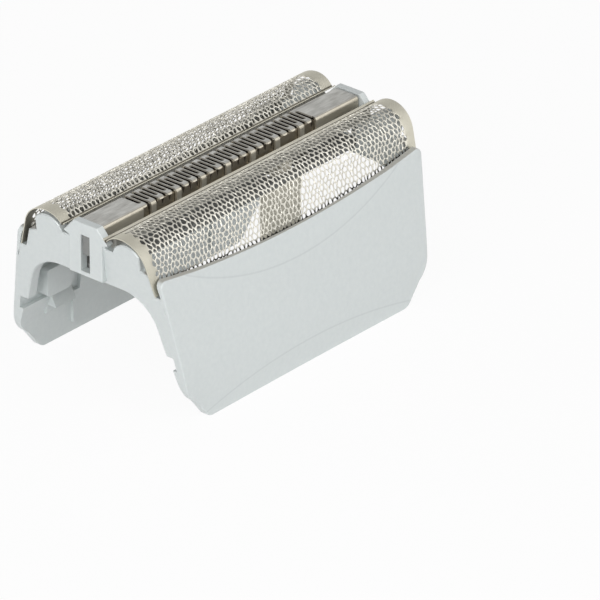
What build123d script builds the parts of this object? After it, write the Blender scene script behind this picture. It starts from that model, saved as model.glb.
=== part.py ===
from build123d import *
import os
from math import asin, atan, cos, degrees, hypot, radians, sin, sqrt, tan

# Two-foil shaver head. X runs along the foils, -Y is the front, +Z is up.
# The origin is at the middle of the floor that the two skirts stand on. Sizes are in millimetres.

# Foils
overall_height = 19.9         # floor to the crown of the foils
foil_length = 42.0
foil_outer_radius = 3.25      # crown to the outer side
foil_inner_radius = 2.8       # crown to the inner fold
foil_wrap = 50.0              # degrees from the crown to the inner fold
foil_sheet = 0.12
foil_lean = 17.0              # degrees the straight outer side leans out, going down
foil_depth = 6.9              # crown to the lower edge of the outer side
lip_run = 0.3                 # upturned lip past the inner fold
lip_rise = 0.26
foil_travel = 0.8             # how far a cutter can lift the foil
hole_columns = 20
hole_rows = 6
hole_rib = 0.4
foil_margin = 1.6             # plain band at each end of the foil
perforated_drop = 1.2         # perforation below the start of the arc
perforated_stop = 0.7         # plain band beside the inner fold

# Edge strips of the foils
strip_height = 0.9
strip_depth = 1.0
inner_strip_depth = 0.7
inner_strip_drop = 1.2        # inner fold down to the strip's seat
strip_end_gap = 0.3

# Trimmer
trimmer_width = 3.3
trimmer_gap = 1.0             # trimmer side to the lip of the foil
comb_drop = 0.2               # comb top below the foil crown
comb_sheet = 0.25
comb_bend = 0.45
comb_depth = 2.8
comb_setback = 1.35           # end of the foil to the end of the comb
comb_window_bottom = 1.6      # below the comb top
comb_window_round = 0.3
comb_edge = 0.1               # broken upper edges of the ribbon
loop_pitch = 1.27
loop_count = 21
loop_row_centre = -0.4
loop_slot = 0.34
loop_bridge = 0.8             # metal left at the closed end of a slot
legs_every = 3
post_width = 0.72
blade_gap = 0.05
blade_sheet = 0.2
blade_depth = 1.3
blade_inset = 4.15            # end of the comb to the end of the blade
blade_pitch = 1.05
blade_tooth_gap = 0.5         # mouth of the gap between two teeth
blade_tooth_depth = 0.8
blade_stroke = 1.2
carrier_drop = 1.95           # carrier top below the comb top
carrier_height = 1.5
carrier_inset = 0.15          # end of the comb to the end of the carrier
tongue_width = 1.0
tongue_drop = 1.25            # tongue top below the comb top
tongue_reach = 1.0            # past the end of the carrier
tongue_clearance = 0.1
tongue_way_drop = 0.4         # tongue's way on below the lowest place of the carrier
float_travel = 1.3
float_clearance = 0.15
stop_clearance = 0.03

# Blade drive and springs
driver_inset = 6.3            # end of the blade to the middle of the driver
driver_length = 4.0
driver_stem_length = 1.8
driver_stem_width = 1.5
driver_gap = 0.2
driver_block_height = 0.9
fork_length = 4.8
fork_slot = 1.8
fork_height = 6.9
fork_web = 5.5
fork_drop = 0.5               # fork below the cradle
leaf_sheet = 0.15
leaf_width = 1.6
leaf_foot = 1.4
leaf_gap = 2.4                # between the feet of the two leaves
leaf_clearance = 0.04
coil_wire = 0.2
coil_radius = 0.72
coil_turns = 4
coil_inset = 6.5              # end of the carrier to the middle of the coil
coil_pocket = 1.25            # depth of the coil's hole in the carrier
coil_clearance = 0.12
peg_height = 0.5

# Cradle under the trimmer
cradle_height = 0.8
cradle_width = 3.4
cradle_end_gap = 0.15

# Frame
skirt_wall = 0.9
rim_wall = 0.6                # wall beside the foil, at the shoulder
recess_drop = 0.3             # foil's lower edge down to the thicker wall
edge_round = 0.15             # outer edges of the skirts
wall_round = 0.12             # outer edges of the end walls and blocks
foil_side_gap = 0.37          # foil side to the skirt
shoulder_drop = 4.5           # foil crown to the shoulder of the skirt
skirt_slope = 0.192           # flare of the skirt, run over rise
flare_end = 6.2               # height where the flare bends upright
flare_toe = 2.2               # height where the skirt stands upright
rim_dip = 0.65                # rim below the shoulder, mid length
rim_rise = 0.8                # rim above the shoulder, at the corners
corner_run = 0.9              # side edge in to the start of the rim's curve
foil_overhang = 0.8           # foil end past the end wall, at the shoulder
wall_lean = 0.12              # end wall, run over rise
end_wall = 1.2
side_low = 4.8                # height where the side edge turns in
toe_notch_run = 1.45          # side edge in to the notch
toe_notch_height = 2.44
toe_notch_round = 0.8
toe_run = 2.5                 # notch in to the straight foot
toe_curve = 0.62              # tangent length of the turn at the foot
scoop_radius = 600.0          # shallow hollow of the upper skirt
crease_radius = 35.6
crease_low = 11.75
foot_scoop_radius = 900.0
foot_crease_radius = 65.8
foot_crease_high = 2.7
lobe_gap = 0.85               # foil crown to the lobe under it
lobe_shoulder = 1.3           # lobe side inside the foil side
lobe_side_z = 1.6             # foil crown to the top of the lobe's side
notch_drop = 3.15             # foil crown to the notch beside the lobe
foil_slot_depth = 5.7         # foil crown to the bottom of the end slot
foil_slot_gap = 0.3           # end wall to the inside of the foil
arch_floor = 0.5              # end wall left under the cradle
arch_shoulder = 3.1           # arch crown to the start of its side
arch_corner = 4.25
lobe_foot_run = 0.25          # seat of the inner strip out to the lobe
lobe_foot_rise = 0.6
leg_bottom = 7.5
leg_width = 1.0
leg_taper = 0.31              # inner edge of the leg, run over rise
block_rise = 0.1              # block top above the comb
block_top_width = 3.2
block_wide = 5.96
block_wide_drop = 1.44
block_width = 4.5
block_neck_drop = 1.75
block_depth = 0.9
block_bottom_drop = 0.1       # below the cradle's seat
comb_end_gap = 0.15
pocket_gap = 0.25
shelf_thickness = 0.6
shelf_length = 3.4
tab_thickness = 0.4
tab_length = 1.5
tab_gap = 0.2
catch_length = 3.35
catch_height = 3.1
catch_z = 6.8
catch_inset = 4.35            # end of the foil to the catch
catch_reach = 1.0
catch_corner = 0.35
ledge_z = 6.1
ledge_reach = 0.5
plate_length = 3.0
plate_shift = 1.3             # inner end of the plate past the inner end of the catch
plate_foot = 4.8
plate_top = 8.6
plate_reach = 0.65
plate_slope = 0.6             # how far the foot of the plate stands out
hollow_length = 2.2
hollow_height = 3.2
hollow_z = 4.6
hollow_round = 1.8
hollow_depth = 0.4
rib_width = 0.35
rib_reach = 0.35
upper_rib_z = (3.8, 5.8)      # foot and top of the rib under the plate
lower_rib_z = (1.1, 4.3)      # foot and top of the rib under the hollow
cut_over = 1.0                # how far a cutter reaches past the face it cuts

# Worked out from the sizes above
half_trimmer = trimmer_width / 2
fold_y = half_trimmer + trimmer_gap + lip_run
crown_y = fold_y + foil_inner_radius * sin(radians(foil_wrap))
fold_z = overall_height - foil_inner_radius * (1 - cos(radians(foil_wrap)))
side_z = overall_height - foil_outer_radius
foil_bottom = overall_height - foil_depth
foil_level = foil_sheet / cos(radians(foil_lean))
half_foil = foil_length / 2
lean_y = crown_y + foil_outer_radius * cos(radians(foil_lean))
lean_z = side_z + foil_outer_radius * sin(radians(foil_lean))

shoulder_z = overall_height - shoulder_drop
shoulder_y = lean_y + (lean_z - shoulder_z) * tan(radians(foil_lean)) + foil_side_gap + rim_wall
flare_y = shoulder_y + (shoulder_z - flare_end) * skirt_slope
base_y = flare_y + (flare_end - flare_toe) * tan(atan(skirt_slope) / 2)
shoulder_x = half_foil - foil_overhang

comb_top = overall_height - comb_drop
comb_bottom = comb_top - comb_depth
half_comb = half_foil - comb_setback
comb_length = 2 * half_comb
blade_length = comb_length - 2 * blade_inset
blade_top = comb_top - comb_sheet - blade_gap
blade_under = blade_top - blade_sheet
half_blade = half_trimmer - comb_sheet - blade_gap
carrier_top = comb_top - carrier_drop
carrier_bottom = carrier_top - carrier_height
half_carrier = half_comb - carrier_inset
tongue_top = comb_top - tongue_drop
cradle_top = carrier_bottom - float_travel - float_clearance
cradle_bottom = cradle_top - cradle_height
arch_top = cradle_bottom - arch_floor
block_top = comb_top + block_rise
block_in = half_comb + comb_end_gap
block_out = block_in + block_depth
slot_bottom = overall_height - foil_slot_depth
inner_seat = fold_z - inner_strip_drop
peg_radius = coil_radius - coil_wire / 2 - coil_clearance
coil_bore = coil_radius + coil_wire / 2 + coil_clearance
coil_top = carrier_bottom + coil_pocket
coil_offset = half_carrier - coil_inset
driver_bottom = cradle_bottom - fork_drop
driver_way = driver_stem_length / 2 + blade_stroke + driver_gap
driver_x = blade_length / 2 - driver_inset
leaf_pitch = (driver_x - driver_way + blade_length / 2) / 2
leaf_span = leaf_pitch - 2 * leaf_foot - leaf_gap
leaf_right = driver_x - driver_way - leaf_pitch / 2
leaf_left = leaf_right - leaf_pitch


def wall_x(z):
    return shoulder_x + (z - shoulder_z) * wall_lean


def foil_y(z):
    return lean_y + (lean_z - z) * tan(radians(foil_lean))


def foil_inside(z):
    return foil_y(z) - foil_level


def beside_foil(z):
    return foil_y(z) + foil_side_gap


def skirt_y(z):
    return shoulder_y + (shoulder_z - z) * skirt_slope


strip_top = foil_bottom + strip_height
strip_in = foil_inside(strip_top) - strip_depth


def wall_middle(z):
    return min(skirt_y(z), base_y) - skirt_wall / 2


def wall_inside(z):
    return min(skirt_y(z), base_y) - skirt_wall


def prism_x(points, x_from, x_to):
    face = make_face(Polyline(*points, close=True).edges())
    return extrude(Plane.YZ.offset(x_from) * face, x_to - x_from)


def prism_y(points, y_from, y_to):
    face = make_face(Polyline(*points, close=True).edges())
    return extrude(Plane.XZ.offset(-y_to) * face, y_to - y_from)


def block(x_from, x_to, y_from, y_to, z_from, z_to):
    centre = ((x_from + x_to) / 2, (y_from + y_to) / 2, (z_from + z_to) / 2)
    return Pos(*centre) * Box(x_to - x_from, y_to - y_from, z_to - z_from)


def both_ends(solid):
    return solid + mirror(solid, about=Plane.YZ)


def both_sides(solid):
    return solid + mirror(solid, about=Plane.XZ)


def joined(edges, plane, amount):
    return extrude(plane * make_face(edges), amount)


# Foil: a perforated sheet bent over the cutter, with an upturned lip beside the trimmer
def foil_section():
    wrap = radians(foil_wrap)
    lip = hypot(lip_run, lip_rise)
    lip_normal = (-lip_rise / lip * foil_sheet, -lip_run / lip * foil_sheet)
    slope = (-cos(wrap), -sin(wrap))
    inner_end = (fold_y + sin(wrap) * foil_sheet, fold_z - cos(wrap) * foil_sheet)
    turn = (lip_normal[0] + fold_y - inner_end[0], lip_normal[1] + fold_z - inner_end[1])
    lip_way = (-lip_run / lip, lip_rise / lip)
    cross = slope[0] * lip_way[1] - slope[1] * lip_way[0]
    reach = (turn[0] * lip_way[1] - turn[1] * lip_way[0]) / cross
    mitre = (inner_end[0] + slope[0] * reach, inner_end[1] + slope[1] * reach)
    tip = (fold_y - lip_run, fold_z + lip_rise)
    under_tip = (tip[0] + lip_normal[0], tip[1] + lip_normal[1])
    lean = radians(foil_lean)
    inner_start = (lean_y - foil_sheet * cos(lean), lean_z - foil_sheet * sin(lean))
    outer_centre = (crown_y, side_z)
    inner_centre = (crown_y, overall_height - foil_inner_radius)
    edges = [
        Line((foil_y(foil_bottom), foil_bottom), (lean_y, lean_z)),
        CenterArc(outer_centre, foil_outer_radius, foil_lean, 90 - foil_lean),
        CenterArc(inner_centre, foil_inner_radius, 90, foil_wrap),
        Line((fold_y, fold_z), tip),
        Line(tip, under_tip),
        Line(under_tip, mitre),
        Line(mitre, inner_end),
        CenterArc(inner_centre, foil_inner_radius - foil_sheet, 90, foil_wrap),
        CenterArc(outer_centre, foil_outer_radius - foil_sheet, foil_lean, 90 - foil_lean),
        Line(inner_start, (foil_inside(foil_bottom), foil_bottom)),
        Line((foil_inside(foil_bottom), foil_bottom), (foil_y(foil_bottom), foil_bottom)),
    ]
    return edges, mitre


def foil_station(distance):
    # A point of the outer surface and its outward direction, by the distance past the start of the arc
    lean = radians(foil_lean)
    outer_arc = foil_outer_radius * (radians(90) - lean)
    if distance < 0:
        return (lean_y - distance * sin(lean), lean_z + distance * cos(lean)), foil_lean
    if distance < outer_arc:
        angle = foil_lean + degrees(distance / foil_outer_radius)
        radius = foil_outer_radius
        centre_z = side_z
    else:
        angle = 90 + degrees((distance - outer_arc) / foil_inner_radius)
        radius = foil_inner_radius
        centre_z = overall_height - foil_inner_radius
    return (crown_y + radius * cos(radians(angle)), centre_z + radius * sin(radians(angle))), angle


def foil_holes():
    arc = foil_outer_radius * radians(90 - foil_lean) + foil_inner_radius * radians(foil_wrap)
    row_pitch = (arc + perforated_drop - perforated_stop) / hole_rows
    column_pitch = (foil_length - 2 * foil_margin) / (hole_columns + 0.5)
    half_x = (column_pitch - hole_rib) / 2
    half_s = (row_pitch - hole_rib) / 2
    outline = Polyline(
        (-half_x, 0), (-half_x / 2, half_s), (half_x / 2, half_s),
        (half_x, 0), (half_x / 2, -half_s), (-half_x / 2, -half_s), close=True)
    hole = extrude(make_face(outline.edges()), 3 * foil_sheet, both=True)
    holes = []
    for row in range(hole_rows):
        (y, z), angle = foil_station(-perforated_drop + (row + 0.5) * row_pitch)
        outward = (0, cos(radians(angle)), sin(radians(angle)))
        for column in range(hole_columns):
            x = -half_foil + foil_margin + (column + 0.5 + 0.5 * (row % 2)) * column_pitch
            holes.append(Plane(origin=(x, y, z), x_dir=(1, 0, 0), z_dir=outward) * hole)
    return holes


def make_foil():
    edges, mitre = foil_section()
    sheet = joined(edges, Plane.YZ.offset(-half_foil), foil_length)
    half_low = half_foil - overall_height * wall_lean
    ends = prism_y([(-half_low, 0), (half_low, 0), (half_foil, overall_height),
                    (-half_foil, overall_height)], 0, 2 * base_y)
    clear_x = wall_x(foil_bottom) - end_wall - strip_end_gap
    notch_top = slot_bottom + strip_end_gap
    notch = block(clear_x, half_foil, foil_inside(notch_top) - foil_slot_gap, 2 * base_y,
                  foil_bottom - foil_sheet, notch_top)
    return (sheet & ends) - both_ends(notch) - foil_holes()


def make_outer_strip():
    half = wall_x(foil_bottom) - end_wall - strip_end_gap
    return prism_x([(strip_in, foil_bottom), (foil_inside(foil_bottom), foil_bottom),
                    (foil_inside(strip_top), strip_top), (strip_in, strip_top)], -half, half)


def make_inner_strip():
    edges, mitre = foil_section()
    half = block_in - comb_end_gap
    left = fold_y - inner_strip_depth / 2
    right = fold_y + inner_strip_depth / 2
    points = [(left, inner_seat), (right, inner_seat), (right, mitre[1]), mitre,
              (left, mitre[1] - lip_rise)]
    return prism_x(points, -half, half)


# Trimmer comb: a bent sheet slit into one winding ribbon, with legs down to a bottom rail
def comb_ribbon():
    step = loop_pitch / 2
    arm = step - loop_slot
    turn_y = half_trimmer - (step + arm) / 2
    web_length = loop_bridge - (step + arm) / 2 + loop_slot / 2
    first = loop_row_centre - loop_pitch * loop_count / 2
    pieces = []
    for index in range(2 * loop_count + 1):
        pieces.append(Pos(first + index * step, 0) * Rectangle(arm, 2 * turn_y))
    for index in range(2 * loop_count):
        side = -1 if index % 2 == 0 else 1
        nose = Circle((step + arm) / 2) & (Pos(0, side * step) * Rectangle(loop_pitch, 2 * step))
        web = Pos(0, -side * web_length / 2) * Rectangle(step, web_length)
        web = web - Pos(0, -side * web_length) * Circle(loop_slot / 2)
        pieces.append(Pos(first + (index + 0.5) * step, side * turn_y) * (nose + web))
    outline = Sketch() + pieces
    ribbon = extrude(Plane.XY.offset(comb_top - comb_sheet) * outline, comb_sheet)
    return chamfer(ribbon.faces().sort_by(Axis.Z)[-1].edges(), comb_edge)


def comb_windows(side):
    begin = loop_row_centre - loop_pitch * loop_count / 2
    end = loop_row_centre + loop_pitch * loop_count / 2
    first = begin + loop_pitch / 4
    if side > 0:
        first = first + loop_pitch / 2
    legs = []
    for index in range(1, loop_count, legs_every):
        legs.append(first + index * loop_pitch)
    starts = [begin] + [x + post_width / 2 for x in legs]
    stops = [x - post_width / 2 for x in legs] + [end]
    outer = sorted((side * trimmer_width, side * (half_trimmer - comb_bend)))
    windows = []
    for start, stop in zip(starts, stops):
        window = block(start, stop, outer[0], outer[1], comb_top - comb_window_bottom, comb_top + cut_over)
        corners = window.edges().filter_by(Axis.Y).group_by(Axis.Z)[0]
        windows.append(fillet(corners, comb_window_round))
    return windows


def channel(half_width, top, depth, sheet, length, bend):
    outer = block(-length / 2, length / 2, -half_width, half_width, top - depth, top)
    corners = outer.edges().filter_by(Axis.X).group_by(Axis.Z)[-1]
    outer = fillet(corners, bend)
    inside = block(-length, length, -half_width + sheet, half_width - sheet, top - 2 * depth, top - sheet)
    if bend > sheet:
        hollow = inside.edges().filter_by(Axis.X).group_by(Axis.Z)[-1]
        inside = fillet(hollow, bend - sheet)
    return outer - inside


def make_comb():
    comb = channel(half_trimmer, comb_top, comb_depth, comb_sheet, comb_length, comb_bend)
    half_row = loop_pitch * loop_count / 2
    middle = block(loop_row_centre - half_row, loop_row_centre + half_row, comb_bend - half_trimmer,
                   half_trimmer - comb_bend, comb_top - comb_sheet - blade_gap / 2, comb_top + cut_over)
    envelope = block(-half_comb, half_comb, -half_trimmer, half_trimmer, comb_bottom, comb_top)
    envelope = fillet(envelope.edges().filter_by(Axis.X).group_by(Axis.Z)[-1], comb_bend)
    return comb - [middle] - comb_windows(-1) - comb_windows(1) + (comb_ribbon() & envelope)


def make_blade():
    blade = channel(half_blade, blade_top, blade_depth, blade_sheet, blade_length, blade_sheet)
    count = int((blade_length - 2 * blade_pitch) / blade_pitch)
    half_gap = blade_tooth_gap / 2
    gaps = []
    for index in range(count):
        x = (index - (count - 1) / 2) * blade_pitch
        if abs(x - driver_x) > driver_length / 2 + blade_tooth_gap:
            gaps.append(prism_y([(x - half_gap, blade_top), (x + half_gap, blade_top),
                                 (x, blade_top - blade_tooth_depth)], -trimmer_width, trimmer_width))
    return blade - gaps


def driver_hole(z_from, z_to):
    half_width = driver_stem_width / 2 + driver_gap
    return block(driver_x - driver_way, driver_x + driver_way, -half_width, half_width,
                 z_from - cut_over, z_to + cut_over)


# Carrier: plastic bar in the comb, with a tongue at each end that slides in the frame
def make_carrier():
    half_width = half_trimmer - comb_sheet
    bar = block(-half_carrier, half_carrier, -half_width, half_width, carrier_bottom, carrier_top)
    tongue = block(half_carrier - end_wall, half_carrier + tongue_reach, -tongue_width / 2,
                   tongue_width / 2, carrier_bottom, tongue_top)
    way = driver_hole(carrier_bottom, carrier_top)
    depth = coil_top - carrier_bottom
    pocket = Pos(coil_offset, 0, carrier_bottom + depth / 2) * Cylinder(coil_bore, depth)
    return bar + both_ends(tongue) - way - both_ends(pocket)


def make_driver():
    half_inside = half_blade - blade_sheet - blade_gap
    head = block(-driver_length / 2, driver_length / 2, -half_inside, half_inside,
                 blade_under - driver_block_height, blade_under)
    stem = block(-driver_stem_length / 2, driver_stem_length / 2, -driver_stem_width / 2,
                 driver_stem_width / 2, driver_bottom - fork_web, blade_under)
    web = block(-fork_length / 2, fork_length / 2, -driver_stem_width / 2, driver_stem_width / 2,
                driver_bottom - fork_web, driver_bottom)
    prong = block(fork_slot / 2, fork_length / 2, -driver_stem_width / 2, driver_stem_width / 2,
                  driver_bottom - fork_height, driver_bottom)
    return Pos(driver_x, 0, 0) * (head + stem + web + both_ends(prong))


def make_leaf():
    rise = blade_under - leaf_clearance - carrier_top
    half = leaf_span / 2
    top = carrier_top + rise
    low = carrier_top + leaf_sheet
    edges = [
        Line((-half - leaf_foot, carrier_top), (-half - leaf_foot, low)),
        Line((-half - leaf_foot, low), (-half, low)),
        ThreePointArc((-half, low), (0, top), (half, low)),
        Line((half, low), (half + leaf_foot, low)),
        Line((half + leaf_foot, low), (half + leaf_foot, carrier_top)),
        Line((half + leaf_foot, carrier_top), (half, carrier_top)),
        ThreePointArc((half, carrier_top), (0, top - leaf_sheet), (-half, carrier_top)),
        Line((-half, carrier_top), (-half - leaf_foot, carrier_top)),
    ]
    return joined(edges, Plane.XZ.offset(-leaf_width / 2), leaf_width)


def make_coil():
    low = cradle_top + coil_wire / 2
    high = coil_top - coil_wire / 2
    path = Helix(pitch=(high - low) / coil_turns, height=high - low, radius=coil_radius)
    start = Plane(origin=path @ 0, z_dir=path % 0)
    wire = sweep(start * Circle(coil_wire / 2), path=path, is_frenet=True)
    return Pos(coil_offset, 0, low) * wire


def make_cradle():
    half = block_in - cradle_end_gap
    bar = block(-half, half, -cradle_width / 2, cradle_width / 2, cradle_bottom, cradle_top)
    way = driver_hole(cradle_bottom, cradle_top)
    peg = Pos(coil_offset, 0, cradle_top + peg_height / 2) * Cylinder(peg_radius, peg_height)
    return bar - way + both_ends(peg)


# Frame: two skirts joined by two end walls, in one moulding
def rim_edges(solid, outward):
    # Edges around the faces that look one way, without the creases between those faces
    seen = [face for face in solid.faces() if face.normal_at().dot(Vector(*outward)) > 0.9]
    edges = [edge for face in seen for edge in face.edges()]
    return [edge for edge in edges if sum(edge.is_same(other) for other in edges) == 1]


def skirt_section():
    top = overall_height
    outer = [
        Line((skirt_y(top), top), (flare_y, flare_end)),
        TangentArc((flare_y, flare_end), (base_y, flare_toe), tangent=(skirt_slope, -1)),
        Line((base_y, flare_toe), (base_y, 0)),
    ]
    step_z = foil_bottom - recess_drop
    step_y = skirt_y(step_z)
    inner = [
        Line((beside_foil(top), top), (beside_foil(step_z), step_z)),
        Line((beside_foil(step_z), step_z), (step_y - skirt_wall, step_z)),
        Line((step_y - skirt_wall, step_z), (flare_y - skirt_wall, flare_end)),
        TangentArc((flare_y - skirt_wall, flare_end), (base_y - skirt_wall, flare_toe),
                   tangent=(skirt_slope, -1)),
        Line((base_y - skirt_wall, flare_toe), (base_y - skirt_wall, 0)),
    ]
    caps = [
        Line((beside_foil(top), top), (skirt_y(top), top)),
        Line((base_y - skirt_wall, 0), (base_y, 0)),
    ]
    return outer + inner + caps


def skirt_outline():
    rim_mid = shoulder_z - rim_dip
    rim_end = shoulder_z + rim_rise
    rim_half = wall_x(rim_end) - corner_run
    rim_sag = rim_end - rim_mid
    rim_arc = (rim_half ** 2 + rim_sag ** 2) / (2 * rim_sag)
    rim_turn = asin(rim_half / rim_arc)
    # The rim and the side edge meet in a turn that is tangent to both
    tangent = corner_run / (cos(rim_turn) - wall_lean * sin(rim_turn))
    corner_z = rim_end + tangent * sin(rim_turn)
    corner_low = corner_z - tangent / hypot(1, wall_lean)
    corner_end = (wall_x(corner_low), corner_low)
    low_corner = (wall_x(side_low), side_low)
    notch = (low_corner[0] - toe_notch_run, toe_notch_height)
    foot = (notch[0] - toe_run, 0)
    slope = hypot(toe_run - toe_curve, toe_notch_height)
    foot_start = (foot[0] + toe_curve + toe_curve * (toe_run - toe_curve) / slope,
                  toe_curve * toe_notch_height / slope)
    edges = [
        Line((0, 0), (0, rim_mid)),
        CenterArc((0, rim_mid + rim_arc), rim_arc, -90, degrees(rim_turn)),
        TangentArc((rim_half, rim_end), corner_end, tangent=(cos(rim_turn), sin(rim_turn))),
        Line(corner_end, low_corner),
        TangentArc(low_corner, notch, tangent=(-wall_lean, -1)),
        Line(notch, foot_start),
        TangentArc(foot, foot_start, tangent=(1, 0)),
        Line(foot, (0, 0)),
    ]
    half = make_face(edges)
    half = fillet(half.vertices().sort_by_distance((notch[0], notch[1], 0))[0], toe_notch_round)
    return half + mirror(half, about=Plane.YZ)


def hollow_ball(radius, ring, ring_centre_z, lean):
    # A ball outside the rear skirt that cuts a ring of the given radius into its face
    lean_angle = atan(lean)
    stand_off = sqrt(radius ** 2 - ring ** 2)
    face_y = skirt_y(ring_centre_z) if lean else base_y
    return Pos(0, face_y + cos(lean_angle) * stand_off,
               ring_centre_z + sin(lean_angle) * stand_off) * Sphere(radius)


def make_skirt(plate):
    bar = joined(skirt_section(), Plane.YZ.offset(-half_foil), foil_length)
    skirt = bar & plate
    skirt = fillet(rim_edges(skirt, (0, 1, 0)), edge_round)
    upper = hollow_ball(scoop_radius, crease_radius, crease_low + crease_radius * cos(atan(skirt_slope)),
                        skirt_slope)
    foot = hollow_ball(foot_scoop_radius, foot_crease_radius, foot_crease_high - foot_crease_radius, 0)
    return skirt - upper - foot


def wall_outline():
    lobe_top = overall_height - lobe_gap
    lobe_side = crown_y + foil_outer_radius - lobe_shoulder
    lobe_side_top = overall_height - lobe_side_z
    notch_z = overall_height - notch_drop
    slot_top = notch_z - foil_slot_gap
    seat_in = fold_y - inner_strip_depth / 2 - strip_end_gap / 2
    seat_out = fold_y + inner_strip_depth / 2 + strip_end_gap / 2
    centre_top = comb_top - block_wide_drop
    slot_in = (foil_inside(slot_bottom) - foil_slot_gap, slot_bottom)
    slot_out = (skirt_y(slot_bottom) - rim_wall / 2, slot_bottom)
    low_y = skirt_y(leg_bottom) - skirt_wall / 2
    leg_y = skirt_y(leg_bottom) - skirt_wall - leg_width
    arch_low = arch_top - arch_shoulder
    arch_side = (leg_y - (arch_low - leg_bottom) * leg_taper, arch_low)
    arch_start = (arch_side[0] - arch_corner, arch_top)
    lobe_start = (seat_out + lobe_foot_run, inner_seat + lobe_foot_rise)
    edges = [
        Line((0, arch_top), (0, centre_top)),
        Line((0, centre_top), (seat_in, centre_top)),
        Line((seat_in, centre_top), (seat_in, inner_seat)),
        Line((seat_in, inner_seat), (seat_out, inner_seat)),
        Line((seat_out, inner_seat), lobe_start),
        ThreePointArc(lobe_start, (crown_y + lobe_shoulder / 2, lobe_top), (lobe_side, lobe_side_top)),
        Line((lobe_side, lobe_side_top), (lobe_side, notch_z)),
        Line((lobe_side, notch_z), (foil_inside(slot_top) - foil_slot_gap, slot_top)),
        Line((foil_inside(slot_top) - foil_slot_gap, slot_top), slot_in),
        Line(slot_in, slot_out),
        Line(slot_out, (low_y, leg_bottom)),
        Line((low_y, leg_bottom), (leg_y, leg_bottom)),
        Line((leg_y, leg_bottom), arch_side),
        TangentArc(arch_start, arch_side, tangent=(1, 0)),
        Line(arch_start, (0, arch_top)),
    ]
    half = make_face(edges)
    return half + mirror(half, about=Plane.YZ)


def make_end_wall():
    plate = extrude(Plane.YZ * wall_outline(), foil_length)
    lean_slab = prism_y([
        (wall_x(0) - end_wall, 0), (wall_x(0), 0),
        (wall_x(overall_height), overall_height), (wall_x(overall_height) - end_wall, overall_height),
    ], -base_y, base_y)
    wall = plate & lean_slab
    return chamfer(rim_edges(wall, (1, 0, 0)), wall_round)


def make_end_block():
    wide_z = comb_top - block_wide_drop
    neck_z = comb_top - block_neck_drop
    low_z = cradle_bottom - block_bottom_drop
    points = []
    for side in (1, -1):
        half = [
            (side * block_width / 2, low_z), (side * block_width / 2, neck_z),
            (side * block_wide / 2, wide_z), (side * block_top_width / 2, block_top),
        ]
        points = points + (half if side > 0 else half[::-1])
    body = prism_x(points, block_in, block_out)
    body = fillet(rim_edges(body, (1, 0, 0)), wall_round)
    slot_top = tongue_top + stop_clearance
    slot_low = cradle_top - tongue_way_drop
    half_slot = tongue_width / 2 + tongue_clearance
    slot = block(block_in - end_wall, block_out + end_wall, -half_slot, half_slot, slot_low, slot_top)
    return body, slot


def make_frame():
    plate = extrude(Plane.XZ.offset(-2 * base_y) * skirt_outline(), 2 * base_y)
    skirt = make_skirt(plate)
    shelf_x = wall_x(foil_bottom) - end_wall
    shelf = block(shelf_x - shelf_length, shelf_x + end_wall / 2, strip_in,
                  skirt_y(foil_bottom) - rim_wall / 2, foil_bottom - shelf_thickness, foil_bottom)
    tab_z = strip_top + foil_travel + stop_clearance
    tab_x = wall_x(tab_z) - end_wall
    tab = block(tab_x - tab_length, tab_x + end_wall / 2, strip_in,
                foil_inside(tab_z + tab_thickness) - tab_gap, tab_z, tab_z + tab_thickness)
    catch, hollow = make_catch()
    side = skirt - both_ends(hollow) + both_ends(shelf) + both_ends(tab) + (both_ends(catch) & plate)
    end_block, slot = make_end_block()
    pocket = block(0, block_in, -cradle_width / 2 - pocket_gap, cradle_width / 2 + pocket_gap,
                   cradle_bottom, overall_height)
    end = make_end_wall() - pocket + end_block - slot
    return both_sides(side) + both_ends(end)


def wall_rib(x, foot, top):
    return prism_x([(wall_inside(top) - rib_reach, top), (wall_middle(top), top),
                    (wall_middle(foot), foot), (wall_inside(foot) - rib_reach, foot)],
                   x - rib_width / 2, x + rib_width / 2)


def make_catch():
    # Latch pad on the inside of the skirt, over a ledge, with a sloping plate and two ribs beside it
    x_out = half_foil - catch_inset
    x_in = x_out - catch_length
    high = catch_z + catch_height
    front = wall_inside(high) - catch_reach
    pad = prism_x([(front, catch_z), (wall_middle(catch_z), catch_z), (wall_middle(high), high),
                   (front, high)], x_in, x_out)
    pad = fillet(pad.edges().filter_by(Axis.Y), catch_corner)
    ledge = prism_x([(wall_inside(ledge_z) - ledge_reach, ledge_z), (wall_middle(ledge_z), ledge_z),
                     (wall_middle(flare_toe), flare_toe)], x_in, wall_x(ledge_z))
    plate_in = x_in - plate_shift
    plate_y = wall_inside(ledge_z) - plate_reach
    plate = prism_x([(plate_y - plate_slope, plate_foot), (wall_middle(plate_foot), plate_foot),
                     (wall_middle(plate_top), plate_top), (wall_inside(plate_top) - plate_reach, plate_top),
                     (plate_y, ledge_z)], plate_in, plate_in + plate_length)
    ribs = (wall_rib(plate_in + plate_length, *upper_rib_z)
            + wall_rib(plate_in - hollow_length / 2, *lower_rib_z))
    hollow_top = hollow_z + hollow_height
    hollow = prism_x([(strip_in, hollow_z), (wall_inside(hollow_z) + hollow_depth, hollow_z),
                      (wall_inside(hollow_top) + hollow_depth, hollow_top), (strip_in, hollow_top)],
                     plate_in - hollow_length, plate_in)
    arc = hollow.edges().filter_by(Axis.Y).group_by(Axis.Z)[-1].sort_by(Axis.X)[0]
    return pad + ledge + plate + ribs, fillet(arc, hollow_round)


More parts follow.
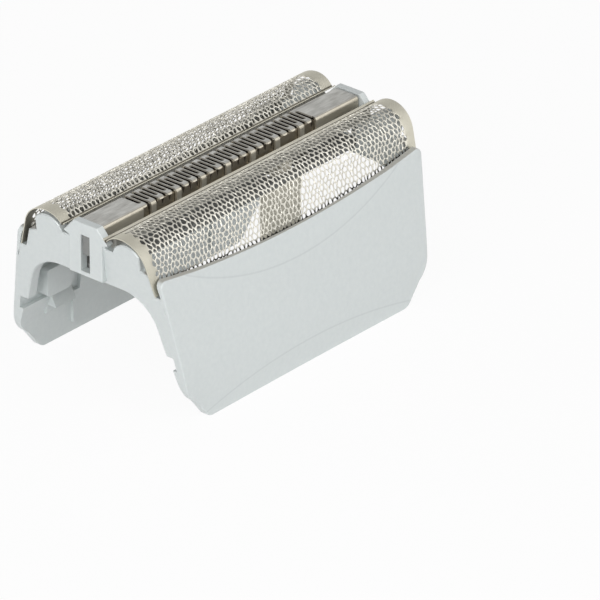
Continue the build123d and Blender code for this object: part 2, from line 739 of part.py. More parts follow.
def main():
    os.makedirs("parts", exist_ok=True)
    rear_foil = make_foil()
    outer_strip = make_outer_strip()
    inner_strip = make_inner_strip()
    leaf = make_leaf()
    coil = make_coil()
    nodes = {
        "frame": make_frame(),
        "rear_foil": rear_foil,
        "front_foil": mirror(rear_foil, about=Plane.XZ),
        "rear_outer_strip": outer_strip,
        "front_outer_strip": mirror(outer_strip, about=Plane.XZ),
        "rear_inner_strip": inner_strip,
        "front_inner_strip": mirror(inner_strip, about=Plane.XZ),
        "trimmer_comb": make_comb(),
        "trimmer_carrier": make_carrier(),
        "trimmer_blade": make_blade(),
        "blade_driver": make_driver(),
        "blade_spring_right": Pos(leaf_right, 0, 0) * leaf,
        "blade_spring_left": Pos(leaf_left, 0, 0) * leaf,
        "float_spring_right": coil,
        "float_spring_left": mirror(coil, about=Plane.YZ),
        "trimmer_cradle": make_cradle(),
    }
    for name, solid in nodes.items():
        export_step(solid, f"parts/{name}.step")


main()
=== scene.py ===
import math
import random
import bpy
from mathutils import Matrix, Vector
from mathutils.geometry import delaunay_2d_cdt


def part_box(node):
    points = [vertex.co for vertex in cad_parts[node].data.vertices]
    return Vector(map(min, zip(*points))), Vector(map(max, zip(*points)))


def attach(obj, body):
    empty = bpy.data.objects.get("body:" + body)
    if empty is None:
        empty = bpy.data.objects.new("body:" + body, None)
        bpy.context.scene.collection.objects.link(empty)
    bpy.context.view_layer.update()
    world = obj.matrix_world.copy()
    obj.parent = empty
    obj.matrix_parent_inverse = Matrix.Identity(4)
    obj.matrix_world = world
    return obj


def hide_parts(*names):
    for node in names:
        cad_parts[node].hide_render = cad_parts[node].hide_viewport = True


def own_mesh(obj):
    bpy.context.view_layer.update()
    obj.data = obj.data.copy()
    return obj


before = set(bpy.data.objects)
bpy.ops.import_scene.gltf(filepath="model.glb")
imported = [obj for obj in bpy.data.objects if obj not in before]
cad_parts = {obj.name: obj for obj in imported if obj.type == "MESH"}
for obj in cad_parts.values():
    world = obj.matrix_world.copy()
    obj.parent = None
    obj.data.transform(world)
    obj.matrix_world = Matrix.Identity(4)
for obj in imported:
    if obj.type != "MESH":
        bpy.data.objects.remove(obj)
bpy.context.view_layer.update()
mm = 0.001  # the sizes below are in millimetres, Blender's in metres


# From an sRGB hex value to Blender's linear colour
def linearColour(hexValue):
    parts = [int(hexValue[i:i + 2], 16) / 255 for i in (1, 3, 5)]
    return (*[p / 12.92 if p <= 0.04045 else ((p + 0.055) / 1.055) ** 2.4 for p in parts], 1)


# Adds a node, with its settings and what is linked into it
def addNode(tree, kind, settings, links):
    node = tree.nodes.new(kind)
    for name, value in settings.items():
        if isinstance(name, int) or name in node.inputs:
            node.inputs[name].default_value = value
        else:
            setattr(node, name, value)
    for name, source in links.items():
        tree.links.new(source, node.inputs[name])
    return node


def newFinish(name):
    finish = bpy.data.materials.new(name)
    finish.use_nodes = True
    finish.node_tree.nodes.clear()
    return finish, finish.node_tree


# What a finish has where its own settings don't say otherwise
plainLook = {
    "coat": 0.0, "coatRoughness": 0.1, "stretch": (1, 1, 1),
    "cloudDetail": 3, "cloudRoughness": 0.6, "grainDetail": 2, "grainRoughness": 0.5,
    "paintedLightPatches": [], "paintedShadeRings": [],
}
wholePatch = {"outside": 0, "within": 20, "above": 0}  # all of the part, 20 mm being past its sides


# Two noises at real sizes: the larger shifts the colour, the finer the roughness and the surface
def patterned(name, look):
    look = {**plainLook, **look}
    finish, tree = newFinish(name)
    place = addNode(tree, "ShaderNodeTexCoord", {}, {})
    stretched = addNode(tree, "ShaderNodeMapping", {"Scale": look["stretch"]},
                        {"Vector": place.outputs["Object"]})
    cloud = addNode(tree, "ShaderNodeTexNoise",
                    {"Scale": 1 / (look["cloudSize"] * mm), "Detail": look["cloudDetail"],
                     "Roughness": look["cloudRoughness"]},
                    {"Vector": stretched.outputs["Vector"]})
    grain = addNode(tree, "ShaderNodeTexNoise",
                    {"Scale": 1 / (look["grainSize"] * mm), "Detail": look["grainDetail"],
                     "Roughness": look["grainRoughness"]},
                    {"Vector": stretched.outputs["Vector"]})
    tint = addNode(tree, "ShaderNodeMixRGB",
                   {"Color1": linearColour(look["dark"]), "Color2": linearColour(look["light"])},
                   {"Fac": cloud.outputs["Fac"]})
    axes = addNode(tree, "ShaderNodeSeparateXYZ", {}, {"Vector": place.outputs["Object"]})
    fromMiddle = addNode(tree, "ShaderNodeMath", {"operation": "ABSOLUTE"}, {0: axes.outputs["Y"]})
    faces = addNode(tree, "ShaderNodeNewGeometry", {}, {})
    facing = addNode(tree, "ShaderNodeSeparateXYZ", {}, {"Vector": faces.outputs["Normal"]})
    # Painted light or shade: another colour on faces turned up, or turned aside where the range
    # falls, between two distances from the middle plane and above a height
    for patch in look["paintedLightPatches"]:
        patch = {**wholePatch, **patch}
        faintest, fullest = patch["facing"]
        outside = addNode(tree, "ShaderNodeMath",
                          {"operation": "GREATER_THAN", 1: patch["outside"] * mm},
                          {0: fromMiddle.outputs["Value"]})
        within = addNode(tree, "ShaderNodeMath",
                         {"operation": "LESS_THAN", 1: patch["within"] * mm},
                         {0: fromMiddle.outputs["Value"]})
        above = addNode(tree, "ShaderNodeMath",
                        {"operation": "GREATER_THAN", 1: patch["above"] * mm},
                        {0: axes.outputs["Z"]})
        upward = addNode(tree, "ShaderNodeMapRange", {"From Min": faintest, "From Max": fullest},
                         {"Value": facing.outputs["Z"]})
        share = upward.outputs["Result"]
        for gate in (outside, within, above):
            share = addNode(tree, "ShaderNodeMath", {"operation": "MULTIPLY"},
                            {0: share, 1: gate.outputs["Value"]}).outputs["Value"]
        mottle = addNode(tree, "ShaderNodeMixRGB",
                         {"Color1": linearColour(patch["dark"]),
                          "Color2": linearColour(patch["light"])},
                         {"Fac": cloud.outputs["Fac"]})
        tint = addNode(tree, "ShaderNodeMixRGB", {},
                       {"Fac": share, "Color1": tint.outputs["Color"],
                        "Color2": mottle.outputs["Color"]})
    # Thin lines of painted shade along circles drawn on the outer faces, which may slope
    for ring in look["paintedShadeRings"]:
        steep = math.hypot(1, ring["slope"])
        onFace = addNode(tree, "ShaderNodeMapping",
                         {"Location": (0, 0, -ring["middle"] * steep * mm), "Scale": (1, 0, steep)},
                         {"Vector": place.outputs["Object"]})
        reach = addNode(tree, "ShaderNodeVectorMath", {"operation": "LENGTH"},
                        {0: onFace.outputs["Vector"]})
        past = addNode(tree, "ShaderNodeMath", {"operation": "SUBTRACT", 1: ring["radius"] * mm},
                       {0: reach.outputs["Value"]})
        past = addNode(tree, "ShaderNodeMath", {"operation": "ABSOLUTE"},
                       {0: past.outputs["Value"]})
        line = addNode(tree, "ShaderNodeMapRange",
                       {"From Max": ring["half"] * mm, "To Min": ring["depth"], "To Max": 0.0},
                       {"Value": past.outputs["Value"]})
        outward = addNode(tree, "ShaderNodeMath", {"operation": "MULTIPLY"},
                          {0: axes.outputs["Y"], 1: facing.outputs["Y"]})
        outward = addNode(tree, "ShaderNodeMath",
                          {"operation": "GREATER_THAN", 1: ring["outside"] * mm},
                          {0: outward.outputs["Value"]})
        line = addNode(tree, "ShaderNodeMath", {"operation": "MULTIPLY"},
                       {0: line.outputs["Result"], 1: outward.outputs["Value"]})
        tint = addNode(tree, "ShaderNodeMixRGB", {"Color2": linearColour(ring["colour"])},
                       {"Fac": line.outputs["Value"], "Color1": tint.outputs["Color"]})
    gloss = addNode(tree, "ShaderNodeMapRange",
                    {"To Min": look["roughness"] - look["roughSpread"],
                     "To Max": look["roughness"] + look["roughSpread"]},
                    {"Value": grain.outputs["Fac"]})
    relief = addNode(tree, "ShaderNodeBump",
                     {"Strength": look["relief"], "Distance": look["reliefDepth"] * mm},
                     {"Height": grain.outputs["Fac"]})
    shader = addNode(tree, "ShaderNodeBsdfPrincipled",
                     {"Metallic": look["metallic"], "Coat Weight": look["coat"],
                      "Coat Roughness": look["coatRoughness"]},
                     {"Base Color": tint.outputs["Color"], "Roughness": gloss.outputs["Result"],
                      "Normal": relief.outputs["Normal"]})
    addNode(tree, "ShaderNodeOutputMaterial", {}, {"Surface": shader.outputs["BSDF"]})
    return finish


# Moulded ABS sprayed with silver lacquer: a pale, cool satin with a fine flake
# Painted shade lines along creases, shared by the two rings below
creaseShadeLine = {"half": 0.15, "depth": 0.3, "colour": "#a9afb0", "outside": 7.4}
silverLacqueredAbs = patterned("silverLacqueredAbs", {
    "dark": "#cdd3d3", "light": "#d9dedd", "metallic": 0.15, "roughness": 0.42, "roughSpread": 0.05,
    "coat": 0.15, "coatRoughness": 0.3,
    "cloudSize": 0.5, "grainSize": 0.14,  # the flake is nearer 0.03 mm, drawn coarse enough to show
    "relief": 0.06, "reliefDepth": 0.01,
    # the rim's top, turned up, is painted grey as shade
    "paintedLightPatches": [{"dark": "#bab9b3", "light": "#c4c3bd", "outside": 7.4, "above": 14.2,
                 "facing": (0.75, 0.95)}],
    "paintedShadeRings": [  # painted shade lines along the creases round the skirt's two hollows
        {**creaseShadeLine, "radius": 35.6, "middle": 46.71, "slope": 0.192},
        {**creaseShadeLine, "radius": 65.8, "middle": -63.1, "slope": 0},
    ]})

# Electroformed nickel: a warm white metal, bright on the rounded ribs, with a matt hatched band
# at each end
nickel = {
    "dark": "#d5d2c7", "light": "#e6e3d9", "roughness": 0.42,
    "band": "#cdcabd", "bandRoughness": 0.65,
    "bandStart": 19.0, "bandEnd": 19.6,  # distance from the middle of the foil
    "lipEnd": 2.8,  # the lip beside the trimmer is as matt as the bands
    # painted shade in a line along the fold
    "foldShade": "#5f5a4f", "creaseAt": 2.95, "creaseHalf": 0.08, "creaseFade": 0.08,
    # painted shade on the sheet in the gap beside the rim, which is bowed to a radius
    "foot": "#3f3d37", "rimMiddle": 14.75, "rimBow": 138.6,
    "footFrom": -0.1, "footTo": 0.25,  # heights from the rim's curve
    "cloudSize": 1.2, "cloudDetail": 3,
    "hatchPitch": 0.3,  # the etched lines are nearer 0.1 mm, drawn coarse enough to show
    "waveRepeat": 0.628,  # of Blender's diagonal wave at scale 1, along an axis
    "relief": 0.8, "reliefDepth": 0.02,
}
electroformedNickel, tree = newFinish("electroformedNickel")
place = addNode(tree, "ShaderNodeTexCoord", {}, {})
axes = addNode(tree, "ShaderNodeSeparateXYZ", {}, {"Vector": place.outputs["Object"]})
fromMiddle = addNode(tree, "ShaderNodeMath", {"operation": "ABSOLUTE"}, {0: axes.outputs["X"]})
band = addNode(tree, "ShaderNodeMapRange",
               {"From Min": nickel["bandStart"] * mm, "From Max": nickel["bandEnd"] * mm},
               {"Value": fromMiddle.outputs["Value"]})
fromTrimmer = addNode(tree, "ShaderNodeMath", {"operation": "ABSOLUTE"}, {0: axes.outputs["Y"]})
lip = addNode(tree, "ShaderNodeMath", {"operation": "LESS_THAN", 1: nickel["lipEnd"] * mm},
              {0: fromTrimmer.outputs["Value"]})
plain = addNode(tree, "ShaderNodeMath", {"operation": "MAXIMUM"},
                {0: band.outputs["Result"], 1: lip.outputs["Value"]})
cloud = addNode(tree, "ShaderNodeTexNoise",
                {"Scale": 1 / (nickel["cloudSize"] * mm), "Detail": nickel["cloudDetail"]},
                {"Vector": place.outputs["Object"]})
tint = addNode(tree, "ShaderNodeMixRGB",
               {"Color1": linearColour(nickel["dark"]), "Color2": linearColour(nickel["light"])},
               {"Fac": cloud.outputs["Fac"]})
tint = addNode(tree, "ShaderNodeMixRGB", {"Color2": linearColour(nickel["band"])},
               {"Fac": plain.outputs["Value"], "Color1": tint.outputs["Color"]})
# Painted shade in a line along the fold
fromFold = addNode(tree, "ShaderNodeMath", {"operation": "SUBTRACT", 1: nickel["creaseAt"] * mm},
                   {0: fromTrimmer.outputs["Value"]})
fromFold = addNode(tree, "ShaderNodeMath", {"operation": "ABSOLUTE"},
                   {0: fromFold.outputs["Value"]})
foldShade = addNode(tree, "ShaderNodeMapRange",
                 {"From Min": nickel["creaseHalf"] * mm,
                  "From Max": (nickel["creaseHalf"] + nickel["creaseFade"]) * mm,
                  "To Min": 1.0, "To Max": 0.0},
                 {"Value": fromFold.outputs["Value"]})
tint = addNode(tree, "ShaderNodeMixRGB", {"Color2": linearColour(nickel["foldShade"])},
               {"Fac": foldShade.outputs["Result"], "Color1": tint.outputs["Color"]})
# Painted shade on the sheet just above the rim's bowed curve, kept off the plain bands
square = addNode(tree, "ShaderNodeMath", {"operation": "MULTIPLY"},
                 {0: axes.outputs["X"], 1: axes.outputs["X"]})
bow = addNode(tree, "ShaderNodeMath", {"operation": "MULTIPLY", 1: 1 / (2 * nickel["rimBow"] * mm)},
              {0: square.outputs["Value"]})
aboveRim = addNode(tree, "ShaderNodeMath", {"operation": "SUBTRACT"},
                   {0: axes.outputs["Z"], 1: bow.outputs["Value"]})
foot = addNode(tree, "ShaderNodeMapRange",
               {"From Min": (nickel["rimMiddle"] + nickel["footFrom"]) * mm,
                "From Max": (nickel["rimMiddle"] + nickel["footTo"]) * mm,
                "To Min": 1.0, "To Max": 0.0},
               {"Value": aboveRim.outputs["Value"]})
awayFromBand = addNode(tree, "ShaderNodeMath", {"operation": "SUBTRACT", 0: 1.0},
                       {1: band.outputs["Result"]})
foot = addNode(tree, "ShaderNodeMath", {"operation": "MULTIPLY"},
               {0: foot.outputs["Result"], 1: awayFromBand.outputs["Value"]})
tint = addNode(tree, "ShaderNodeMixRGB", {"Color2": linearColour(nickel["foot"])},
               {"Fac": foot.outputs["Value"], "Color1": tint.outputs["Color"]})
gloss = addNode(tree, "ShaderNodeMapRange",
                {"To Min": nickel["roughness"], "To Max": nickel["bandRoughness"]},
                {"Value": plain.outputs["Value"]})
hatch = band.outputs["Result"]
for way in (1, -1):  # two sets of lines that cross
    turned = addNode(tree, "ShaderNodeMapping", {"Scale": (way, 1, 1)},
                     {"Vector": place.outputs["Object"]})
    lines = addNode(tree, "ShaderNodeTexWave",
                    {"bands_direction": "DIAGONAL",
                     "Scale": nickel["waveRepeat"] / (nickel["hatchPitch"] * mm)},
                    {"Vector": turned.outputs["Vector"]})
    hatch = addNode(tree, "ShaderNodeMath", {"operation": "MULTIPLY"},
                    {0: hatch, 1: lines.outputs["Fac"]}).outputs["Value"]
relief = addNode(tree, "ShaderNodeBump",
                 {"Strength": nickel["relief"], "Distance": nickel["reliefDepth"] * mm},
                 {"Height": hatch})
shader = addNode(tree, "ShaderNodeBsdfPrincipled", {"Metallic": 1.0},
                 {"Base Color": tint.outputs["Color"], "Roughness": gloss.outputs["Result"],
                  "Normal": relief.outputs["Normal"]})
addNode(tree, "ShaderNodeOutputMaterial", {}, {"Surface": shader.outputs["BSDF"]})

# Inside of the foils, where the nickel grew: the same metal, matt, with its grey darkened as painted
# shade
mattShadedNickel = patterned("mattShadedNickel", {
    "dark": "#7d7b72", "light": "#98958b", "metallic": 1.0, "roughness": 0.6, "roughSpread": 0.05,
    "cloudSize": 1.2, "grainSize": 0.1, "relief": 0.05, "reliefDepth": 0.005})

# Stainless strip, rolled and ground along its length: a satin grey with fine lines
groundStainless = patterned("groundStainless", {
    "dark": "#b9b3a4", "light": "#dfd9ca", "metallic": 1.0, "roughness": 0.5, "roughSpread": 0.08,
    "cloudSize": 0.5, "grainSize": 0.08, "stretch": (0.25, 1, 1),
    "relief": 0.08, "reliefDepth": 0.006,
    "paintedLightPatches": [
        # the top painted brighter and cooler as sheen from above, mottled as ground; the ribbon's
        # broken edges and the walls of the slits painted darker as shade
        {"dark": "#8f8d86", "light": "#f4f4f0", "above": 18.5, "facing": (0.75, 0.95)},
        {"dark": "#77736b", "light": "#89857d", "above": 19.59, "facing": (0.9, 0.75)},
        {"dark": "#302d28", "light": "#403d37", "within": 1.25, "above": 19.4, "facing": (0.5, 0.3)},
    ]})

# Hardened blade steel, stamped and lapped: darker than the comb, with fine lines across it
hardenedBladeSteel = patterned("hardenedBladeSteel", {
    "dark": "#8a8172", "light": "#a59c8c", "metallic": 1.0, "roughness": 0.45, "roughSpread": 0.08,
    "cloudSize": 0.6, "grainSize": 0.1, "stretch": (1, 0.15, 1),
    "relief": 0.08, "reliefDepth": 0.006,
    # the top, under the comb, is painted near black as shade
    "paintedLightPatches": [{"dark": "#1a1816", "light": "#262420", "facing": (0.75, 0.95)}]})

# Drawn spring wire and rolled spring leaf: smooth grey, glossier than the other steels
drawnSpringSteel = patterned("drawnSpringSteel", {
    "dark": "#85847f", "light": "#a3a29d", "metallic": 1.0, "roughness": 0.3, "roughSpread": 0.05,
    "cloudSize": 0.4, "grainSize": 0.08, "stretch": (1, 1, 0.3),
    "relief": 0.05, "reliefDepth": 0.004})

# Moulded acetal strips: mid grey, waxy and even
mouldedAcetal = patterned("mouldedAcetal", {
    "dark": "#8f8e88", "light": "#9d9c96", "metallic": 0.0, "roughness": 0.45, "roughSpread": 0.05,
    "cloudSize": 0.8, "grainSize": 0.2, "relief": 0.05, "reliefDepth": 0.01})

# Glass-filled nylon of the carrier and the cradle, moulded: a little darker than the strips, matt
filledNylon = patterned("filledNylon", {
    "dark": "#7b7c7a", "light": "#8b8c8a", "metallic": 0.0, "roughness": 0.55, "roughSpread": 0.06,
    "cloudSize": 0.6, "grainSize": 0.12, "relief": 0.1, "reliefDepth": 0.01})

# Natural nylon of the blade's driver, moulded: ivory and matt
naturalNylon = patterned("naturalNylon", {
    "dark": "#efe8d5", "light": "#f7f2e4", "metallic": 0.0, "roughness": 0.55, "roughSpread": 0.06,
    "cloudSize": 0.6, "grainSize": 0.12, "relief": 0.1, "reliefDepth": 0.01})

nodeFinishes = {
    "frame": silverLacqueredAbs,
    "front_foil": electroformedNickel,
    "rear_foil": electroformedNickel,
    "trimmer_comb": groundStainless,
    "trimmer_blade": hardenedBladeSteel,
    "blade_spring_left": drawnSpringSteel,
    "blade_spring_right": drawnSpringSteel,
    "float_spring_left": drawnSpringSteel,
    "float_spring_right": drawnSpringSteel,
    "front_inner_strip": mouldedAcetal,
    "rear_inner_strip": mouldedAcetal,
    "front_outer_strip": mouldedAcetal,
    "rear_outer_strip": mouldedAcetal,
    "trimmer_carrier": filledNylon,
    "trimmer_cradle": filledNylon,
    "blade_driver": naturalNylon,
}
for nodeName, finish in nodeFinishes.items():
    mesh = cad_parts[nodeName].data
    mesh.materials.clear()
    mesh.materials.append(finish)
print("finishes on", len(nodeFinishes), "nodes")

# The foils, with every hole of the electroformed sheet
foil = {
    "outerRadius": 3.25, "innerRadius": 2.8,
    "wrap": 50, "lean": 17,  # degrees
    "sheet": 0.1,
    "lipRun": 0.3, "lipRise": 0.26,
    "endLean": 0.12,  # run over rise of the two ends
    "notchTop": 1.5, "notchRun": 2.588,  # lower corners, cut back to pass the end walls
    "columnPitch": 0.6, "rowPitch": 0.6, "rib": 0.12,
    "scatter": 0.25, "ribRound": 0.035,
    "taper": 0.84,  # width of a hole's upper half to its lower
    "cellFlat": 0.866,  # a six-sided cell's half width over its reach to a corner
    "cutNear": 0.82, "cutFar": 0.18,  # where a side is cut, as shares of its two ends
    "endMargin": 1.2, "lowBand": 1.0, "foldBand": 0.2,  # left plain
    "step": 0.25,  # between points up the ends
    "bandFrom": 0.8,  # the plain ends' points begin this many pitches past the outer holes
    "bandSplit": 4,  # and split each end into as many parts
    "foldTolerance": 1e-6, "weld": 1e-5,
    "seed": 5,
}


# Gives the point and the outward normal at a distance along the section: up the leaning side, over
# the crown's two arcs and down to the fold, where a short lip turns up towards the trimmer
def foilSection(low, high):
    lean = math.radians(foil["lean"])
    radius = foil["outerRadius"]
    crownZ = high.z / mm
    bottom = low.z / mm
    startZ = crownZ - radius + radius * math.sin(lean)
    side = (startZ - bottom) / math.cos(lean)
    crownY = high.y / mm - (startZ - bottom) * math.tan(lean) - radius * math.cos(lean)
    outerArc = radius * (math.pi / 2 - lean)
    innerArc = foil["innerRadius"] * math.radians(foil["wrap"])
    lip = math.hypot(foil["lipRun"], foil["lipRise"])
    fold = side + outerArc + innerArc
    foldAngle = math.pi / 2 + math.radians(foil["wrap"])
    foldPoint = (crownY + foil["innerRadius"] * math.cos(foldAngle),
                 crownZ - foil["innerRadius"] + foil["innerRadius"] * math.sin(foldAngle))
    lipNormal = (foil["lipRise"] / lip, foil["lipRun"] / lip)
    mitre = (math.cos(foldAngle) + lipNormal[0], math.sin(foldAngle) + lipNormal[1])
    mitreScale = 2 / (mitre[0] ** 2 + mitre[1] ** 2)

    def at(distance):
        if distance < side:
            back = side - distance
            point = (crownY + radius * math.cos(lean) + back * math.sin(lean),
                     startZ - back * math.cos(lean))
            return point, (math.cos(lean), math.sin(lean))
        if distance < side + outerArc:
            angle = lean + (distance - side) / radius
            turn = radius
        elif distance < fold - foil["foldTolerance"]:
            angle = math.pi / 2 + (distance - side - outerArc) / foil["innerRadius"]
            turn = foil["innerRadius"]
        elif distance < fold + foil["foldTolerance"]:
            return foldPoint, (mitre[0] * mitreScale, mitre[1] * mitreScale)
        else:
            along = (distance - fold) / lip
            point = (foldPoint[0] - foil["lipRun"] * along, foldPoint[1] + foil["lipRise"] * along)
            return point, lipNormal
        normal = (math.cos(angle), math.sin(angle))
        return (crownY + turn * normal[0], crownZ - turn + turn * normal[1]), normal

    return at, fold, fold + lip


# A staggered lattice with scatter, and one more ring of centres around it for the outer cells
def holeCentres(draw, columns, rows, left, start):
    centres = {}
    for row in range(-1, rows + 1):
        for column in range(-1, columns + 1):
            inside = 0 <= row < rows and 0 <= column < columns
            scatter = foil["scatter"] if inside else 0
            x = (left + (column + 0.5 * (row % 2)) * foil["columnPitch"]
                 + draw.uniform(-scatter, scatter))
            s = start + row * foil["rowPitch"] + draw.uniform(-scatter, scatter)
            centres[row, column] = Vector((x, s))
    return centres


# The corners of a hole's cell, each under the three cells that share it
def cellCorners(centres, row, column):
    shift = row % 2
    ring = [(row, column + 1), (row + 1, column + shift), (row + 1, column + shift - 1),
            (row, column - 1), (row - 1, column + shift - 1), (row - 1, column + shift)]
    corners = {}
    for first, second in zip(ring, ring[1:] + ring[:1]):
        meeting = tuple(sorted([(row, column), first, second]))
        corners[meeting] = sum((centres[cell] for cell in meeting), Vector((0, 0))) / len(meeting)
    return corners


# The cell drawn in by half a rib, with its corners cut off
def roundedHole(centre, corners):
    inset = []
    for corner in corners:
        reach = (corner - centre).length
        spot = centre + (corner - centre) * (1 - foil["rib"] / 2 / (reach * foil["cellFlat"]))
        if spot.y > centre.y:
            spot.x = centre.x + (spot.x - centre.x) * foil["taper"]
        inset.append(spot)
    outline = []
    for first, second in zip(inset, inset[1:] + inset[:1]):
        outline.append(first * foil["cutNear"] + second * foil["cutFar"])
        outline.append(first * foil["cutFar"] + second * foil["cutNear"])
    return outline


# The sheet laid flat as x and the distance s along its section, cut into triangles around the holes,
# then bent to the section and given its thickness
def foilMesh(name, low, high):
    at, fold, tip = foilSection(low, high)
    halfLength = high.x / mm
    crownZ = high.z / mm
    draw = random.Random(foil["seed"])

    def endX(s):
        return halfLength - (crownZ - at(s)[0][1]) * foil["endLean"]

    notchS = foil["notchTop"] / math.cos(math.radians(foil["lean"]))
    clearX = halfLength - foil["notchRun"]
    start = foil["lowBand"] + foil["rowPitch"] / 2
    rows = int((fold - foil["foldBand"] - start) / foil["rowPitch"]) + 1
    width = 2 * (halfLength - foil["endMargin"])
    columns = int(width / foil["columnPitch"] - 0.5)  # the stagger takes half a pitch
    left = -(columns - 0.5) * foil["columnPitch"] / 2

    points = []
    lowered = set()
    holes = []
    centres = holeCentres(draw, columns, rows, left, start)
    ribMarks = {}
    for row in range(rows):
        for column in range(columns):
            corners = cellCorners(centres, row, column)
            outline = roundedHole(centres[row, column], list(corners.values()))
            holes.append(list(range(len(points), len(points) + len(outline))))
            lowered.update(holes[-1])
            points.extend(outline)
            meetings = list(corners)
            for first, second in zip(meetings, meetings[1:] + meetings[:1]):
                ribMarks[first] = corners[first]
                ribMarks[tuple(sorted([first, second]))] = (corners[first] + corners[second]) / 2
    points.extend(ribMarks.values())

    # The border, and plain bands with enough points to bend smoothly
    stops = [notchS]
    while stops[-1] + foil["step"] < fold:
        stops.append(stops[-1] + foil["step"])
    stops = stops + [fold, tip]
    border = []
    count = int(2 * clearX / foil["columnPitch"])
    for index in range(count + 1):
        border.append(Vector((-clearX + 2 * clearX * index / count, 0)))
    border.append(Vector((clearX, notchS)))
    for s in stops:
        border.append(Vector((endX(s), s)))
    for index in range(1, count):
        border.append(Vector((endX(tip) * (1 - 2 * index / count), tip)))
    for s in reversed(stops):
        border.append(Vector((-endX(s), s)))
    border.append(Vector((-clearX, notchS)))
    borderStart = len(points)
    points.extend(border)
    borderEdges = []
    for index in range(len(border)):
        borderEdges.append((borderStart + index, borderStart + (index + 1) % len(border)))
    foldStart = len(points)
    for index in range(1, count):
        points.append(Vector((endX(fold) * (1 - 2 * index / count), fold)))
    # the fold line runs between the border's own two points at the fold
    foldLine = [borderStart + count + len(stops)] + list(range(foldStart, len(points)))
    foldLine.append(borderStart + len(border) - len(stops))
    foldEdges = list(zip(foldLine, foldLine[1:]))
    bandLeft = left - foil["columnPitch"] * foil["bandFrom"]
    bandRight = -bandLeft
    for s in stops[1:-2]:
        for step in range(1, foil["bandSplit"]):
            share = step / foil["bandSplit"]
            points.append(Vector((bandRight + (endX(s) - bandRight) * share, s)))
            points.append(Vector((bandLeft + (-endX(s) - bandLeft) * share, s)))

    flat, _, triangles, sources, _, holesOf = delaunay_2d_cdt(
        points, borderEdges + foldEdges, holes, 0, foil["weld"])
    keep = []
    for triangle, inHoles in zip(triangles, holesOf):
        middle = sum((flat[i] for i in triangle), Vector((0, 0))) / len(triangle)
        inNotch = abs(middle.x) > clearX and middle.y < notchS
        if not inHoles and not inNotch and abs(middle.x) < endX(middle.y):
            keep.append(triangle)

    vertices = []
    for point, source in zip(flat, sources):
        (y, z), normal = at(point.y)
        drop = foil["ribRound"] if any(i in lowered for i in source) else 0  # ribs fall to the holes
        vertices.append((point.x * mm, (y - normal[0] * drop) * mm, (z - normal[1] * drop) * mm))
    for point in flat:
        (y, z), normal = at(point.y)
        innerZ = max(z - normal[1] * foil["sheet"], low.z / mm)  # the lower edge is cut level
        vertices.append((point.x * mm, (y - normal[0] * foil["sheet"]) * mm, innerZ * mm))
    under = len(flat)
    faces = []
    used = {}  # keeps the edges in order
    for a, b, c in keep:
        faces.append((a, c, b))
        faces.append((a + under, b + under, c + under))
        for edge in ((a, b), (b, c), (c, a)):
            used[edge] = True
    for a, b in used:
        if (b, a) not in used:  # an edge of one triangle only gets a wall
            faces.append((a, b, b + under, a + under))
    mesh = bpy.data.meshes.new(name)
    mesh.from_pydata(vertices, [], faces)
    mesh.materials.append(electroformedNickel)
    mesh.materials.append(mattShadedNickel)
    for face in mesh.polygons:
        face.material_index = 1 if all(i >= under for i in face.vertices) else 0
    mesh.validate()
    return mesh, len(holes)


sharpAngle = 58  # degrees between two faces from which their edge stays sharp


# A new piece, with the body it rides on and the CAD nodes it stands for; its slot name is not used
def addPiece(name, mesh, body, slotName, *nodes):
    mesh.shade_smooth()
    mesh.set_sharp_from_angle(angle=math.radians(sharpAngle))
    piece = bpy.data.objects.new(name, mesh)
    bpy.context.scene.collection.objects.link(piece)
    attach(piece, body)
    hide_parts(*nodes)
    return piece


low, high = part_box("rear_foil")
rearMesh, holeCount = foilMesh("rearFoilMesh", low, high)
frontMesh = rearMesh.copy()
frontMesh.name = "frontFoilMesh"
frontMesh.transform(Matrix.Diagonal((1, -1, 1, 1)))
frontMesh.flip_normals()
addPiece("rearFoilSheet", rearMesh, "rear_foil_set", "foil_nickel", "rear_foil")
addPiece("frontFoilSheet", frontMesh, "front_foil_set", "foil_nickel", "front_foil")
print("foils with", holeCount, "holes each,", len(rearMesh.polygons), "faces")

# The coil springs under the trimmer, which in the shaver shorten as it sinks; each becomes a piece
# with its own copy of the CAD mesh
coils = {
    "travel": 1.3,  # as far as the trimmer sinks
    "nodes": {"floatSpringLeft": "float_spring_left", "floatSpringRight": "float_spring_right"},
}
for coilName, nodeName in coils["nodes"].items():
    low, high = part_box(nodeName)
    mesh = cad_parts[nodeName].data.copy()
    coil = addPiece(coilName, mesh, "frame", "spring_steel", nodeName)
    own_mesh(coil)
print("springs that shorten:", len(coils["nodes"]))

# Floor, light and camera, with the floor and the lamps in metres
studio = {
    "floorSize": 1.2, "paper": "#f2f2f2", "white": "#ffffff",
    "shadowShare": 0.06,  # how much of the floor's own shading the camera sees
    "worldStrength": 0.4,
    "zenith": 0.3,  # the white surroundings darken overhead to this share
    "dimFrom": 0.15, "dimTo": 0.95,  # heights of the sky, 1 straight up
    "azimuth": -49.22, "elevation": 27.71,
    "distance": 700, "lens": 409.14, "sensor": 36,
    "target": (2.436, -8.49, 4.953),
    "lampTarget": (0, 0, 0.01),
}
lamps = {
    "frontLamp": {"place": (0.02, -0.39, 0.22), "size": 0.25, "power": 0.54},
    "leftLamp": {"place": (-0.42, -0.08, 0.18), "size": 0.25, "power": 0.72},
    "nearLamp": {"place": (-0.29, -0.26, 0.25), "size": 0.20, "power": 0.45},
    "rightLamp": {"place": (0.30, -0.18, 0.27), "size": 0.34, "power": 0.24},
    "backLamp": {"place": (-0.14, 0.40, 0.18), "size": 0.30, "power": 0.4},
}


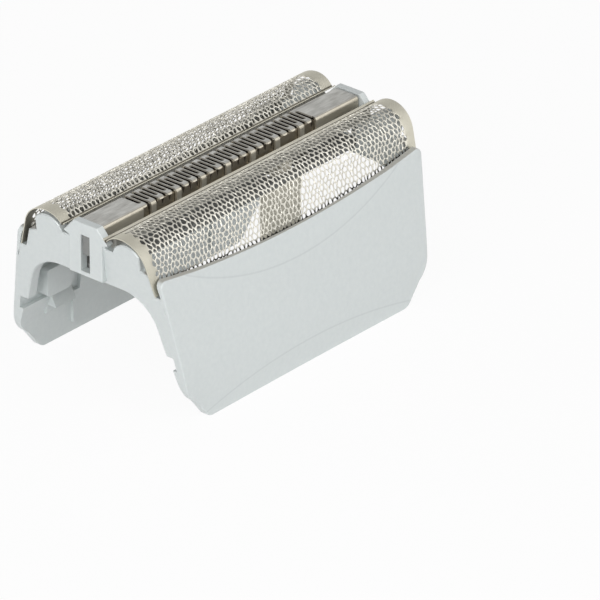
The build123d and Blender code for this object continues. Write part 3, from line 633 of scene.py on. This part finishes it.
# 1 where a ray comes straight from the camera, from a reflection or through glass
def seenDirectly(tree):
    lightPath = addNode(tree, "ShaderNodeLightPath", {}, {})
    seen = addNode(tree, "ShaderNodeMath", {"operation": "MAXIMUM"},
                   {0: lightPath.outputs["Is Camera Ray"], 1: lightPath.outputs["Is Glossy Ray"]})
    seen = addNode(tree, "ShaderNodeMath", {"operation": "MAXIMUM"},
                   {0: seen.outputs["Value"], 1: lightPath.outputs["Is Transmission Ray"]})
    return seen.outputs["Value"]


bpy.ops.mesh.primitive_plane_add(size=studio["floorSize"], location=(0, 0, 0))
floor = bpy.context.object
floor.name = "paleFloor"
floorFinish, tree = newFinish("palePaper")
paper = addNode(tree, "ShaderNodeBsdfDiffuse", {"Color": linearColour(studio["paper"])}, {})
white = addNode(tree, "ShaderNodeEmission",
                {"Color": linearColour(studio["white"]), "Strength": 1.0}, {})
shadowed = addNode(tree, "ShaderNodeMixShader", {"Fac": studio["shadowShare"]},
                   {1: white.outputs["Emission"], 2: paper.outputs["BSDF"]})
mixed = addNode(tree, "ShaderNodeMixShader", {},
                {"Fac": seenDirectly(tree), 1: paper.outputs["BSDF"], 2: shadowed.outputs["Shader"]})
addNode(tree, "ShaderNodeOutputMaterial", {}, {"Surface": mixed.outputs["Shader"]})
floor.data.materials.append(floorFinish)

world = bpy.data.worlds.new("studioWorld")
bpy.context.scene.world = world
world.use_nodes = True
tree = world.node_tree
tree.nodes.clear()
direction = addNode(tree, "ShaderNodeTexCoord", {}, {})
heights = addNode(tree, "ShaderNodeSeparateXYZ", {}, {"Vector": direction.outputs["Generated"]})
level = addNode(tree, "ShaderNodeMapRange",
                {"From Min": studio["dimFrom"], "From Max": studio["dimTo"],
                 "To Min": 1.0, "To Max": studio["zenith"]},
                {"Value": heights.outputs["Z"]})
dimmed = addNode(tree, "ShaderNodeMapRange", {"To Max": studio["worldStrength"]},
                 {"Value": level.outputs["Result"]})
ambient = addNode(tree, "ShaderNodeBackground", {"Color": linearColour(studio["white"])},
                  {"Strength": dimmed.outputs["Result"]})
backdrop = addNode(tree, "ShaderNodeBackground", {"Color": linearColour(studio["white"])},
                   {"Strength": level.outputs["Result"]})
mixed = addNode(tree, "ShaderNodeMixShader", {},
                {"Fac": seenDirectly(tree), 1: ambient.outputs["Background"],
                 2: backdrop.outputs["Background"]})
addNode(tree, "ShaderNodeOutputWorld", {}, {"Surface": mixed.outputs["Shader"]})

for lampName, lamp in lamps.items():
    light = bpy.data.lights.new(lampName, "AREA")
    light.size = lamp["size"]
    light.energy = lamp["power"]
    holder = bpy.data.objects.new(lampName, light)
    holder.location = lamp["place"]
    aim = Vector(studio["lampTarget"]) - holder.location
    holder.rotation_euler = aim.to_track_quat("-Z", "Y").to_euler()
    bpy.context.scene.collection.objects.link(holder)

azimuth = math.radians(studio["azimuth"])
elevation = math.radians(studio["elevation"])
right = Vector((math.cos(azimuth), math.sin(azimuth), 0))
back = Vector((math.sin(azimuth) * math.cos(elevation),
               -math.cos(azimuth) * math.cos(elevation),
               math.sin(elevation)))
up = back.cross(right)
cameraData = bpy.data.cameras.new("photoCamera")
cameraData.lens = studio["lens"]
cameraData.sensor_width = studio["sensor"]
camera = bpy.data.objects.new("photoCamera", cameraData)
camera.matrix_world = Matrix((right, up, back)).transposed().to_4x4()
camera.location = (Vector(studio["target"]) + back * studio["distance"]) * mm
bpy.context.scene.collection.objects.link(camera)
bpy.context.scene.camera = camera
bpy.context.scene.view_settings.view_transform = "Standard"
print("floor, lamps and camera in place")
